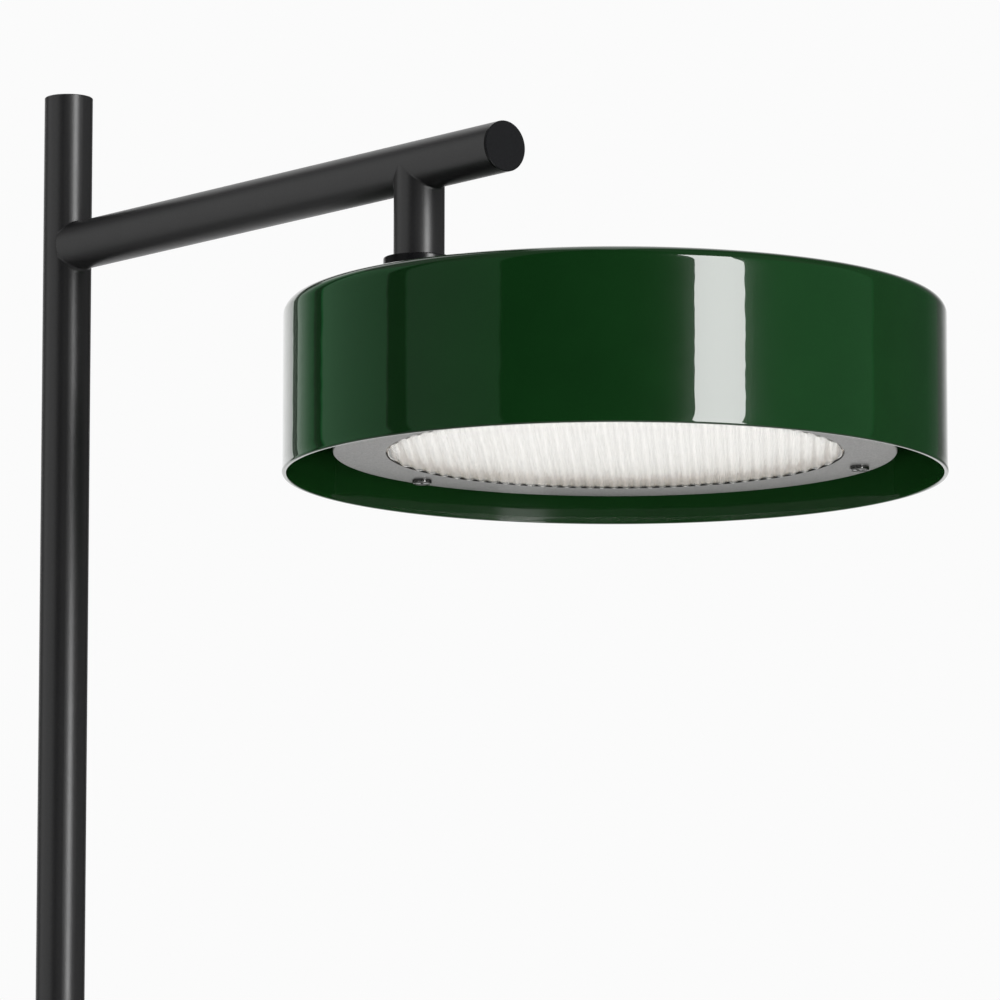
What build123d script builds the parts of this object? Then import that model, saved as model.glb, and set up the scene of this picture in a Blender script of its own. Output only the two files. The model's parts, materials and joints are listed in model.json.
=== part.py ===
from build123d import *
from math import asin, cos, degrees, radians, sin
import os

os.makedirs("parts", exist_ok=True)

# Floor lamp: a round base, a straight pole, an arm welded across the pole, and a round
# reading head that turns about the short stem under the arm.
# Frame: origin on the floor under the pole, +Z up, arm along +X, head to the +Y side.
# All lengths are in millimetres. Heights inside the head are counted up from the shade's rim.

# ---------------------------------------------------------------- driving dimensions
TUBE_R = 12.7
TUBE_WALL = 1.5
LAMP_HEIGHT = 1401.8
ARM_Z = 1321.2
ARM_REACH = 360.0
SWIVEL_X = 293.0
COPE_GAP = 0.05
EAR_TRIM = 7.0

BASE_R = 150.0
BASE_T = 18.0
PAD_R = 146.0
PAD_T = 2.0
CORD_INLET_Z = 51.0
LEAD_R = 2.5
LEAD_HOLE_R = 7.0

SHADE_R = 168.0
SHADE_H = 87.5
SHADE_T = 2.0
SHADE_CORNER_R = 7.0
SHADE_TOP_Z = 1266.0
HEAD_OFFSET = 128.0

COLLAR_R = 17.8
COLLAR_TOP_Z = 1274.5
COLLAR_T = 7.7
AXLE_R = 4.95
AXLE_BORE_R = 3.25
STOP_ANGLE = 150.0

RING_R = 142.5
RING_HOLE_R = 115.8
RING_H = 11.1
SHEET_T = 1.5
LENS_R = 121.0
LENS_T = 3.0
RIB_PITCH = 6.2
RIB_DEPTH = 1.4
RIB_DIRECTION = 138.0
CAN_R = 141.0
CAN_H = 43.5
STUD_CIRCLE_R = 109.0
RING_SCREW_CIRCLE_R = 132.0

# ---------------------------------------------------------------- derived places
BORE_R = TUBE_R - TUBE_WALL
PLUG_GAP = 0.05
PLUG_R = BORE_R - PLUG_GAP
BASE_TOP_Z = PAD_T + BASE_T
RIM_Z = SHADE_TOP_Z - SHADE_H
SWIVEL_AXIS = Axis((SWIVEL_X, 0, 0), (0, 0, 1))
HEAD_AXIS = Axis((SWIVEL_X, HEAD_OFFSET, 0), (0, 0, 1))
HEAD_SECTION = Plane(origin=(SWIVEL_X, HEAD_OFFSET, RIM_Z), x_dir=(1, 0, 0), z_dir=(0, -1, 0))
SWIVEL_SECTION = Plane(origin=(SWIVEL_X, 0, 0), x_dir=(1, 0, 0), z_dir=(0, -1, 0))


def pole_plane(height):
    """Level plane on the pole's axis."""
    return Plane.XY.offset(height)


def arm_plane(reach):
    """Plane across the arm, square to it, at a distance from the pole's axis."""
    return Plane(origin=(reach, 0, ARM_Z), x_dir=(0, 1, 0), z_dir=(1, 0, 0))


def rear_plane(reach):
    """Plane at the cord inlet's height that faces backwards, at a distance behind the pole's axis."""
    return Plane(origin=(-reach, 0, CORD_INLET_Z), z_dir=(-1, 0, 0))


def swivel_plane(height):
    """Level plane on the stem's axis."""
    return Plane(origin=(SWIVEL_X, 0, height))


def head_plane(height):
    """Level plane on the shade's axis, at a height above the shade's rim."""
    return Plane(origin=(SWIVEL_X, HEAD_OFFSET, RIM_Z + height))


def round_spots(radius, angles):
    """Points on a circle about the shade's axis, at angles in degrees from +X."""
    return [(radius * cos(radians(angle)), radius * sin(radians(angle))) for angle in angles]


def on_head(x, y, height):
    """Point in the head, from the shade's axis and rim."""
    return (SWIVEL_X + x, HEAD_OFFSET + y, RIM_Z + height)


def round_bar(plane, radius, length, hole_radius=0.0):
    """Add a round bar or tube to the open part, starting on the plane."""
    with BuildSketch(plane) as section:
        Circle(radius)
        if hole_radius > 0:
            Circle(hole_radius, mode=Mode.SUBTRACT)
    extrude(section.sketch, amount=length)


def round_cut(plane, radius, length):
    """Bore a round hole in the open part, starting on the plane."""
    with BuildSketch(plane) as section:
        Circle(radius)
    extrude(section.sketch, amount=length, mode=Mode.SUBTRACT)


def hex_nut(plane, across_flats, height, hole_radius):
    """Add a hexagon nut to the open part, starting on the plane."""
    with BuildSketch(plane) as section:
        RegularPolygon(across_flats / 2, 6, major_radius=False)
        Circle(hole_radius, mode=Mode.SUBTRACT)
    extrude(section.sketch, amount=height)


def pan_screw(head_r, head_h, shank_r, shank_l, cross_w):
    """Cross-recess pan-head screw, head down, with its bearing face at the origin."""
    crown_r = head_h * 0.6
    recess_h = head_h * 0.6
    with BuildPart() as screw:
        round_bar(Plane.XY.offset(-head_h), head_r, head_h)
        fillet(screw.edges().group_by(Axis.Z)[0], crown_r)
        with BuildSketch(Plane.XY.offset(-head_h)):
            Rectangle(head_r * 1.1, cross_w)
            Rectangle(cross_w, head_r * 1.1)
        extrude(amount=recess_h, mode=Mode.SUBTRACT)
        round_bar(Plane.XY, shank_r, shank_l)
        chamfer(screw.edges().group_by(Axis.Z)[-1], shank_r * 0.25)
    return screw.part


def lead_tube(points, bend_radii, radius):
    """Round lead along straight runs joined by tangent arcs."""
    with BuildPart() as lead:
        with BuildLine() as route:
            FilletPolyline(*points, radius=bend_radii)
        with BuildSketch(Plane(origin=route.line @ 0, z_dir=route.line % 0)):
            Circle(radius)
        sweep(path=route.line)
    return lead


# ================================================================ stand
# Floor pad, thick enough to take up small bumps
PAD_BEVEL = 0.5
with BuildPart() as base_pad:
    round_bar(pole_plane(0), PAD_R, PAD_T)
    chamfer(base_pad.edges().group_by(Axis.Z)[0], PAD_BEVEL)
base_pad.part.label = "base_pad"
export_step(base_pad.part, "parts/base_pad.step")

# Base disc with a blind counterbore underneath for the pole bolt
POLE_BOLT_R = 4.95
POLE_HOLE_R = 5.25
COUNTERBORE_R = 14.0
COUNTERBORE_H = 8.0
BASE_EDGE_R = 2.0
BASE_FOOT_BEVEL = 0.6
with BuildPart() as base_plate:
    round_bar(pole_plane(PAD_T), BASE_R, BASE_T)
    fillet(base_plate.edges().group_by(Axis.Z)[-1], BASE_EDGE_R)
    chamfer(base_plate.edges().group_by(Axis.Z)[0], BASE_FOOT_BEVEL)
    round_cut(pole_plane(PAD_T), COUNTERBORE_R, COUNTERBORE_H)
    round_cut(pole_plane(PAD_T), POLE_HOLE_R, BASE_T)
base_plate.part.label = "base_plate"
export_step(base_plate.part, "parts/base_plate.step")

# Pole bolt with its flat washer and toothed lock washer, stacked under the base's web
WEB_Z = PAD_T + COUNTERBORE_H
WASHER_R = 12.0
WASHER_T = 1.5
LOCK_WASHER_R = 8.5
LOCK_WASHER_T = 0.8
TOOTH_GAP_L = 2.4
TOOTH_GAP_W = 1.6
TOOTH_COUNT = 12
BOLT_HEAD_R = 8.0
BOLT_HEAD_H = 5.0
BOLT_TIP_BEVEL = 1.0
BOLT_TIP_GAP = 3.0
THREAD_GAP = 0.05
PLUG_BEVEL = 0.8
POLE_PLUG_L = 22.0
with BuildPart() as pole_washer:
    round_bar(pole_plane(WEB_Z - WASHER_T), WASHER_R, WASHER_T, POLE_HOLE_R)
pole_washer.part.label = "pole_washer"
export_step(pole_washer.part, "parts/pole_washer.step")

LOCK_WASHER_Z = WEB_Z - WASHER_T - LOCK_WASHER_T
with BuildPart() as pole_lock_washer:
    round_bar(pole_plane(LOCK_WASHER_Z), LOCK_WASHER_R, LOCK_WASHER_T, POLE_HOLE_R)
    with BuildSketch(pole_plane(LOCK_WASHER_Z)):
        with PolarLocations(LOCK_WASHER_R, TOOTH_COUNT):
            Rectangle(TOOTH_GAP_L, TOOTH_GAP_W)
    extrude(amount=LOCK_WASHER_T, mode=Mode.SUBTRACT)
pole_lock_washer.part.label = "pole_lock_washer"
export_step(pole_lock_washer.part, "parts/pole_lock_washer.step")

BOLT_TIP_Z = BASE_TOP_Z + POLE_PLUG_L - BOLT_TIP_GAP
with BuildPart() as pole_bolt:
    with BuildSketch(pole_plane(LOCK_WASHER_Z - BOLT_HEAD_H)):
        RegularPolygon(BOLT_HEAD_R, 6, major_radius=False)
    extrude(amount=BOLT_HEAD_H)
    round_bar(pole_plane(LOCK_WASHER_Z), POLE_BOLT_R, BOLT_TIP_Z - LOCK_WASHER_Z)
    chamfer(pole_bolt.edges().group_by(Axis.Z)[-1], BOLT_TIP_BEVEL)
pole_bolt.part.label = "pole_bolt"
export_step(pole_bolt.part, "parts/pole_bolt.step")

# Threaded plug welded in the pole's foot
with BuildPart() as pole_foot_plug:
    round_bar(pole_plane(BASE_TOP_Z), PLUG_R, POLE_PLUG_L, POLE_BOLT_R + THREAD_GAP)
    chamfer(pole_foot_plug.edges().group_by(Axis.Z)[-1], PLUG_BEVEL)
pole_foot_plug.part.label = "pole_foot_plug"
export_step(pole_foot_plug.part, "parts/pole_foot_plug.step")

# Pole, with the lead's way out to the arm in front and the cord inlet behind
CAP_T = 1.5
INLET_HOLE_R = 5.0
with BuildPart() as pole_tube:
    round_bar(pole_plane(BASE_TOP_Z), TUBE_R, LAMP_HEIGHT - CAP_T - BASE_TOP_Z, BORE_R)
    round_cut(arm_plane(0), LEAD_HOLE_R, TUBE_R * 2)
    round_cut(rear_plane(0), INLET_HOLE_R, TUBE_R * 2)
pole_tube.part.label = "pole_tube"
export_step(pole_tube.part, "parts/pole_tube.step")

# End caps of the pole and the arm: a flush disc with a spigot pressed in the bore
SPIGOT_L = 8.0
CAP_EDGE = 0.4
with BuildPart() as pole_cap:
    round_bar(pole_plane(LAMP_HEIGHT - CAP_T), TUBE_R, CAP_T)
    chamfer(pole_cap.edges().group_by(Axis.Z)[-1], CAP_EDGE)
    round_bar(pole_plane(LAMP_HEIGHT - CAP_T - SPIGOT_L), PLUG_R, SPIGOT_L)
pole_cap.part.label = "pole_cap"
export_step(pole_cap.part, "parts/pole_cap.step")

with BuildPart() as arm_end_cap:
    round_bar(arm_plane(ARM_REACH - CAP_T), TUBE_R, CAP_T)
    chamfer(arm_end_cap.edges().group_by(Axis.X)[-1], CAP_EDGE)
    round_bar(arm_plane(ARM_REACH - CAP_T - SPIGOT_L), PLUG_R, SPIGOT_L)
arm_end_cap.part.label = "arm_end_cap"
export_step(arm_end_cap.part, "parts/arm_end_cap.step")

# Arm, coped to sit on the pole's side, the thin ears cut off square, with a hole underneath
# into the stem
with BuildPart() as arm_tube:
    round_bar(arm_plane(EAR_TRIM), TUBE_R, ARM_REACH - CAP_T - EAR_TRIM, BORE_R)
    round_cut(pole_plane(ARM_Z - TUBE_R * 2), TUBE_R + COPE_GAP, TUBE_R * 4)
    round_cut(swivel_plane(ARM_Z - TUBE_R * 2), LEAD_HOLE_R, TUBE_R * 2)
arm_tube.part.label = "arm_tube"
export_step(arm_tube.part, "parts/arm_tube.step")

# Stem, coped to sit on the arm's underside
with BuildPart() as stem_tube:
    round_bar(swivel_plane(COLLAR_TOP_Z), TUBE_R, ARM_Z - COLLAR_TOP_Z, BORE_R)
    round_cut(arm_plane(SWIVEL_X - TUBE_R * 2), TUBE_R + COPE_GAP, TUBE_R * 4)
stem_tube.part.label = "stem_tube"
export_step(stem_tube.part, "parts/stem_tube.step")

# Cord inlet: a rubber bush whose flange follows the back of the pole
GLAND_R = 7.0
GLAND_BORE_R = 2.8
GLAND_EDGE_R = 1.2
GLAND_OUT_X = TUBE_R + 4.0
GLAND_IN_X = TUBE_R - 4.5
GLAND_NECK_L = 6.0
GLAND_NECK_R = INLET_HOLE_R - 0.1
with BuildPart() as cord_gland:
    round_bar(rear_plane(BORE_R), GLAND_R, GLAND_OUT_X - BORE_R)
    fillet(cord_gland.edges().group_by(Axis.X)[0], GLAND_EDGE_R)
    round_cut(pole_plane(0), TUBE_R + COPE_GAP, CORD_INLET_Z * 2)
    round_bar(rear_plane(GLAND_IN_X), GLAND_NECK_R, GLAND_NECK_L)
    round_cut(rear_plane(0), GLAND_BORE_R, TUBE_R * 2)
cord_gland.part.label = "cord_gland"
export_step(cord_gland.part, "parts/cord_gland.step")

# ================================================================ swivel, fixed to the stand
# Threaded plug in the stem's foot, and the collar that covers the joint
STEM_PLUG_L = 20.0
with BuildPart() as stem_plug:
    round_bar(swivel_plane(COLLAR_TOP_Z), PLUG_R, STEM_PLUG_L, AXLE_R + THREAD_GAP)
    chamfer(stem_plug.edges().group_by(Axis.Z)[-1], PLUG_BEVEL)
stem_plug.part.label = "stem_plug"
export_step(stem_plug.part, "parts/stem_plug.step")

COLLAR_EDGE_R = 0.6
with BuildPart() as swivel_collar:
    round_bar(swivel_plane(COLLAR_TOP_Z - COLLAR_T), COLLAR_R, COLLAR_T)
    fillet(swivel_collar.edges(), COLLAR_EDGE_R)
    round_cut(swivel_plane(COLLAR_TOP_Z - COLLAR_T), AXLE_R + THREAD_GAP, COLLAR_T)
swivel_collar.part.label = "swivel_collar"
export_step(swivel_collar.part, "parts/swivel_collar.step")

# Plastic washer that the shade's top turns under
TURN_GAP = 0.1
AXLE_CLEARANCE = 0.3
FRICTION_WASHER_R = 16.5
WASHER_Z = SHADE_TOP_Z + TURN_GAP
FRICTION_WASHER_T = COLLAR_TOP_Z - COLLAR_T - WASHER_Z
with BuildPart() as friction_washer:
    round_bar(swivel_plane(WASHER_Z), FRICTION_WASHER_R, FRICTION_WASHER_T, AXLE_R + AXLE_CLEARANCE)
friction_washer.part.label = "friction_washer"
export_step(friction_washer.part, "parts/friction_washer.step")

# Under the mounting plate: disc spring, keyed stop washer and nut, all on the hollow axle
PLATE_T = 4.0
PLATE_Z = SHADE_TOP_Z - SHADE_T - PLATE_T
SPRING_H = 1.2
STOP_T = 2.0
NUT_FLATS = 16.0
NUT_H = 5.0
STOP_TOP_Z = PLATE_Z - TURN_GAP - SPRING_H
NUT_Z = STOP_TOP_Z - STOP_T - NUT_H
AXLE_FOOT_Z = NUT_Z - 2.0
AXLE_HEAD_Z = COLLAR_TOP_Z + STEM_PLUG_L - 4.0
AXLE_TIP_BEVEL = 0.6
KEY_FLAT = 4.3
with BuildPart() as swivel_axle:
    round_bar(swivel_plane(AXLE_FOOT_Z), AXLE_R, AXLE_HEAD_Z - AXLE_FOOT_Z)
    chamfer(swivel_axle.edges().group_by(Axis.Z)[0], AXLE_TIP_BEVEL)
    with BuildSketch(swivel_plane(AXLE_FOOT_Z)):
        with Locations((0, -AXLE_R - KEY_FLAT)):
            Rectangle(AXLE_R * 2, AXLE_R * 2)
    extrude(amount=STOP_TOP_Z - AXLE_FOOT_Z, mode=Mode.SUBTRACT)
    round_cut(swivel_plane(AXLE_FOOT_Z), AXLE_BORE_R, AXLE_HEAD_Z - AXLE_FOOT_Z)
swivel_axle.part.label = "swivel_axle"
export_step(swivel_axle.part, "parts/swivel_axle.step")

SPRING_T = 0.8
SPRING_R = 10.0
SPRING_HOLE_R = AXLE_R + 0.15
with BuildPart() as disc_spring:
    with BuildSketch(SWIVEL_SECTION):
        with BuildLine():
            Polyline(
                (SPRING_HOLE_R, STOP_TOP_Z),
                (SPRING_R, STOP_TOP_Z + SPRING_H - SPRING_T),
                (SPRING_R, STOP_TOP_Z + SPRING_H),
                (SPRING_HOLE_R, STOP_TOP_Z + SPRING_T),
                close=True,
            )
        make_face()
    revolve(axis=SWIVEL_AXIS)
disc_spring.part.label = "disc_spring"
export_step(disc_spring.part, "parts/disc_spring.step")

# The stop washer's tab points at the pole; the stop pin meets it STOP_ANGLE either side of the arm
STOP_PIN_R = 2.0
STOP_PIN_CIRCLE_R = 14.5
TAB_R = 17.0
TAB_HUB_R = 11.0
PIN_HALF_ANGLE = degrees(asin(STOP_PIN_R / STOP_PIN_CIRCLE_R))
STOP_SLACK = 0.5
TAB_HALF_ANGLE = 180.0 - STOP_ANGLE - PIN_HALF_ANGLE - STOP_SLACK
with BuildPart() as stop_washer:
    with BuildSketch(swivel_plane(STOP_TOP_Z - STOP_T)):
        with BuildLine():
            tab_arc = CenterArc((0, 0), TAB_R, 180.0 - TAB_HALF_ANGLE, TAB_HALF_ANGLE * 2)
            Line(tab_arc @ 0, (0, 0))
            Line(tab_arc @ 1, (0, 0))
        make_face()
        Circle(TAB_HUB_R)
        with BuildSketch(mode=Mode.SUBTRACT):
            Circle(AXLE_R + THREAD_GAP)
            with Locations((0, -AXLE_R - KEY_FLAT - THREAD_GAP)):
                Rectangle(AXLE_R * 3, AXLE_R * 2, mode=Mode.SUBTRACT)
    extrude(amount=STOP_T)
stop_washer.part.label = "stop_washer"
export_step(stop_washer.part, "parts/stop_washer.step")

with BuildPart() as swivel_nut:
    hex_nut(swivel_plane(NUT_Z), NUT_FLATS, NUT_H, AXLE_R + THREAD_GAP)
swivel_nut.part.label = "swivel_nut"
export_step(swivel_nut.part, "parts/swivel_nut.step")

# Plastic sleeve that keeps the lead off the axle's sharp foot
SLEEVE_BORE_R = LEAD_R + 0.2
SLEEVE_FLANGE_T = 0.8
SLEEVE_FLANGE_R = AXLE_R + 0.4
SLEEVE_L = 5.0
with BuildPart() as axle_sleeve:
    round_bar(swivel_plane(AXLE_FOOT_Z - SLEEVE_FLANGE_T), SLEEVE_FLANGE_R, SLEEVE_FLANGE_T)
    round_bar(swivel_plane(AXLE_FOOT_Z), AXLE_BORE_R - PLUG_GAP, SLEEVE_L)
    round_cut(swivel_plane(AXLE_FOOT_Z - SLEEVE_FLANGE_T), SLEEVE_BORE_R, SLEEVE_FLANGE_T + SLEEVE_L)
axle_sleeve.part.label = "axle_sleeve"
export_step(axle_sleeve.part, "parts/axle_sleeve.step")

# ================================================================ head
# Shade: a spun drum with a flat top, rounded top edge and slightly flared, rolled rim
RIM_FLARE = 0.6
LIP_H = 5.0
LIP_R = 0.6
INNER_R = SHADE_R - SHADE_T
INNER_CORNER_R = SHADE_CORNER_R - SHADE_T
with BuildPart() as shade:
    with BuildSketch(HEAD_SECTION):
        with BuildLine():
            top = Line((0, SHADE_H), (SHADE_R - SHADE_CORNER_R, SHADE_H))
            corner = TangentArc(top @ 1, (SHADE_R, SHADE_H - SHADE_CORNER_R), tangent=(1, 0))
            wall = Line(corner @ 1, (SHADE_R, LIP_H))
            flare = Line(wall @ 1, (SHADE_R + RIM_FLARE, LIP_R))
            lip_out = TangentArc(flare @ 1, (SHADE_R + RIM_FLARE - LIP_R, 0), tangent=(0, -1))
            lip = Line(lip_out @ 1, (INNER_R + LIP_R, 0))
            lip_in = TangentArc(lip @ 1, (INNER_R, LIP_R), tangent=(-1, 0))
            inner_wall = Line(lip_in @ 1, (INNER_R, SHADE_H - SHADE_CORNER_R))
            inner_corner = TangentArc(
                inner_wall @ 1, (INNER_R - INNER_CORNER_R, SHADE_H - SHADE_T), tangent=(0, 1)
            )
            inner_top = Line(inner_corner @ 1, (0, SHADE_H - SHADE_T))
            Line(inner_top @ 1, top @ 0)
        make_face()
    revolve(axis=HEAD_AXIS)
    round_cut(swivel_plane(SHADE_TOP_Z - SHADE_T * 2), AXLE_R + AXLE_CLEARANCE, SHADE_T * 3)
shade.part.label = "shade"
export_step(shade.part, "parts/shade.step")

# Mounting plate: a cross under the shade's top, from the swivel to the three hanging studs
STUD_ANGLES = (90.0, 210.0, 330.0)
STUD_SPOTS = round_spots(STUD_CIRCLE_R, STUD_ANGLES)
STUD_R = 2.0
STUD_HOLE_R = 2.25
PIN_FIT = 0.02
PIN_OVERLAP = 1.0
PIN_HEAD_GAP = 0.1
PLATE_H = SHADE_H - SHADE_T - PLATE_T
SPINE_W = 52.0
CROSS_W = 28.0
LIGHTENING_R = 14.0
LIGHTENING_Y = (20.0, 60.0)
with BuildPart() as mount_plate:
    with BuildSketch(head_plane(PLATE_H)):
        with Locations((0, (STUD_CIRCLE_R - HEAD_OFFSET) / 2)):
            SlotCenterToCenter(STUD_CIRCLE_R + HEAD_OFFSET - CROSS_W, SPINE_W, rotation=90)
        with Locations((0, STUD_SPOTS[1][1])):
            SlotCenterToCenter(STUD_SPOTS[2][0] - STUD_SPOTS[1][0], CROSS_W)
        with Locations(*STUD_SPOTS):
            Circle(STUD_HOLE_R, mode=Mode.SUBTRACT)
        with Locations(*[(0, y) for y in LIGHTENING_Y]):
            Circle(LIGHTENING_R, mode=Mode.SUBTRACT)
    extrude(amount=PLATE_T)
    round_cut(swivel_plane(PLATE_Z), AXLE_R + THREAD_GAP, PLATE_T)
    with BuildSketch(swivel_plane(PLATE_Z)):
        with Locations((0, STOP_PIN_CIRCLE_R)):
            Circle(STOP_PIN_R + PIN_FIT)
    extrude(amount=PLATE_T, mode=Mode.SUBTRACT)
mount_plate.part.label = "mount_plate"
export_step(mount_plate.part, "parts/mount_plate.step")

with BuildPart() as stop_pin:
    with BuildSketch(swivel_plane(STOP_TOP_Z - STOP_T - PIN_OVERLAP)):
        with Locations((0, STOP_PIN_CIRCLE_R)):
            Circle(STOP_PIN_R)
    extrude(amount=PLATE_Z + PLATE_T - PIN_HEAD_GAP - STOP_TOP_Z + STOP_T + PIN_OVERLAP)
stop_pin.part.label = "stop_pin"
export_step(stop_pin.part, "parts/stop_pin.step")

# Studs welded under the shade's top, their spacer sleeves, and the nuts inside the can
NUT_M4_H = 3.2
NUT_M4_R = 3.5
STUD_END = 0.6
SPACER_R = 4.0
CAN_TOP_H = CAN_H - SHEET_T
with BuildPart() as shade_studs:
    with BuildSketch(head_plane(CAN_TOP_H - NUT_M4_H - STUD_END)):
        with Locations(*STUD_SPOTS):
            Circle(STUD_R)
    extrude(amount=SHADE_H - SHADE_T - CAN_TOP_H + NUT_M4_H + STUD_END)
shade_studs.part.label = "shade_studs"
export_step(shade_studs.part, "parts/shade_studs.step")

with BuildPart() as spacer_sleeves:
    with BuildSketch(head_plane(CAN_H)):
        with Locations(*STUD_SPOTS):
            Circle(SPACER_R)
            Circle(STUD_HOLE_R, mode=Mode.SUBTRACT)
    extrude(amount=PLATE_H - CAN_H)
spacer_sleeves.part.label = "spacer_sleeves"
export_step(spacer_sleeves.part, "parts/spacer_sleeves.step")

with BuildPart() as stud_nuts:
    with BuildSketch(head_plane(CAN_TOP_H - NUT_M4_H)):
        with Locations(*STUD_SPOTS):
            RegularPolygon(NUT_M4_R, 6, major_radius=False)
            Circle(STUD_R + THREAD_GAP, mode=Mode.SUBTRACT)
    extrude(amount=NUT_M4_H)
stud_nuts.part.label = "stud_nuts"
export_step(stud_nuts.part, "parts/stud_nuts.step")

# Lamp can: a shallow spun pan, open downwards, with an inward flange for the ring's screws
FLANGE_H = RING_H + SHEET_T
FLANGE_HOLE_R = LENS_R + 1.0
CAN_EDGE_R = 1.2
LED_LEAD_HOLE_R = 3.0
M3_TAP_R = 1.55
M3_HOLE_R = 1.6
RING_SCREW_ANGLES = (68.4, 188.4, 308.4)
RING_SCREW_SPOTS = round_spots(RING_SCREW_CIRCLE_R, RING_SCREW_ANGLES)
RING_SCREW_R = 2.45
RING_SCREW_HOLE_R = 2.6
LED_LEAD_SPOT = (84.0, 30.0)
BOARD_SCREW_CIRCLE_R = 92.0
BOARD_SCREW_ANGLES = (60.0, 180.0, 300.0)
BOARD_SCREW_SPOTS = round_spots(BOARD_SCREW_CIRCLE_R, BOARD_SCREW_ANGLES)
DRIVER_Y = 34.0
DRIVER_L = 110.0
DRIVER_W = 36.0
DRIVER_H = 22.0
EAR_L = 9.0
EAR_T = 2.0
EAR_W = 12.0
DRIVER_CORNER_R = 3.0
DRIVER_EDGE_R = 1.5
DRIVER_SCREW_X = (DRIVER_L + EAR_L) / 2
DRIVER_SCREW_SPOTS = [(-DRIVER_SCREW_X, DRIVER_Y), (DRIVER_SCREW_X, DRIVER_Y)]
TERMINAL_Y = -44.0
with BuildPart() as lamp_can:
    with BuildSketch(HEAD_SECTION):
        with BuildLine():
            Polyline(
                (FLANGE_HOLE_R, FLANGE_H),
                (CAN_R, FLANGE_H),
                (CAN_R, CAN_H),
                (0, CAN_H),
                (0, CAN_TOP_H),
                (CAN_R - SHEET_T, CAN_TOP_H),
                (CAN_R - SHEET_T, FLANGE_H + SHEET_T),
                (FLANGE_HOLE_R, FLANGE_H + SHEET_T),
                close=True,
            )
        make_face()
    revolve(axis=HEAD_AXIS)
    fillet(lamp_can.edges().group_by(Axis.Z)[-1], CAN_EDGE_R)
    with BuildSketch(head_plane(CAN_TOP_H)):
        with Locations(*STUD_SPOTS):
            Circle(STUD_HOLE_R)
        with Locations(LED_LEAD_SPOT):
            Circle(LED_LEAD_HOLE_R)
        with Locations(*BOARD_SCREW_SPOTS, *DRIVER_SCREW_SPOTS):
            Circle(M3_TAP_R)
    extrude(amount=SHEET_T, mode=Mode.SUBTRACT)
    with BuildSketch(head_plane(FLANGE_H)):
        with Locations(*RING_SCREW_SPOTS):
            Circle(RING_SCREW_HOLE_R)
    extrude(amount=SHEET_T, mode=Mode.SUBTRACT)
lamp_can.part.label = "lamp_can"
export_step(lamp_can.part, "parts/lamp_can.step")

# Retainer ring, its three screws, and the clinch nuts on the can's flange
RING_BEVEL = 0.4
RING_SCREW_HEAD_R = 5.0
RING_SCREW_HEAD_H = 2.2
RING_SCREW_L = 8.0
RING_SCREW_CROSS = 1.2
RING_NUT_R = 4.0
RING_NUT_H = 4.0
with BuildPart() as retainer_ring:
    round_bar(head_plane(RING_H), RING_R, SHEET_T, RING_HOLE_R)
    chamfer(retainer_ring.edges().group_by(Axis.Z)[0].sort_by(SortBy.RADIUS)[-1], RING_BEVEL)
    with BuildSketch(head_plane(RING_H)):
        with Locations(*RING_SCREW_SPOTS):
            Circle(RING_SCREW_HOLE_R)
    extrude(amount=SHEET_T, mode=Mode.SUBTRACT)
retainer_ring.part.label = "retainer_ring"
export_step(retainer_ring.part, "parts/retainer_ring.step")

ring_screw = pan_screw(
    RING_SCREW_HEAD_R, RING_SCREW_HEAD_H, RING_SCREW_R, RING_SCREW_L, RING_SCREW_CROSS
)
with BuildPart() as ring_screws:
    with Locations(*[on_head(x, y, RING_H) for x, y in RING_SCREW_SPOTS]):
        add(ring_screw)
ring_screws.part.label = "ring_screws"
export_step(ring_screws.part, "parts/ring_screws.step")

with BuildPart() as ring_nuts:
    with BuildSketch(head_plane(FLANGE_H + SHEET_T)):
        with Locations(*RING_SCREW_SPOTS):
            RegularPolygon(RING_NUT_R, 6, major_radius=False)
            Circle(RING_SCREW_R + THREAD_GAP, mode=Mode.SUBTRACT)
    extrude(amount=RING_NUT_H)
ring_nuts.part.label = "ring_nuts"
export_step(ring_nuts.part, "parts/ring_nuts.step")

# Lens: a glass disc that rests on the ring, with a fluted boss that fills the ring's hole
BOSS_GAP = 1.1
BOSS_R = RING_HOLE_R - BOSS_GAP
CREST_DROP = 0.3
CREST_H = RING_H - CREST_DROP
FLUTE_R = 3.0
FLUTE_COUNT = 2 * round(BOSS_R / RIB_PITCH) + 1
RIB_PLANE = head_plane(CREST_H - FLUTE_R + RIB_DEPTH).rotated((0, 0, RIB_DIRECTION - 90.0))
with BuildPart() as lens:
    round_bar(head_plane(FLANGE_H), LENS_R, LENS_T)
    round_bar(head_plane(CREST_H), BOSS_R, FLANGE_H - CREST_H)
    flute_start = RIB_PLANE.origin - RIB_PLANE.y_dir * LENS_R
    flute_face = Plane(origin=flute_start, x_dir=RIB_PLANE.x_dir, z_dir=RIB_PLANE.y_dir)
    with BuildSketch(flute_face):
        with GridLocations(RIB_PITCH, 1, FLUTE_COUNT, 1):
            Circle(FLUTE_R)
    extrude(amount=LENS_R * 2, mode=Mode.SUBTRACT)
lens.part.label = "lens"
export_step(lens.part, "parts/lens.step")

LENS_TOP_H = FLANGE_H + LENS_T
GASKET_T = 1.0
GASKET_W = 4.5
with BuildPart() as lens_gasket:
    round_bar(head_plane(LENS_TOP_H), LENS_R, GASKET_T, LENS_R - GASKET_W)
lens_gasket.part.label = "lens_gasket"
export_step(lens_gasket.part, "parts/lens_gasket.step")

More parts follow.
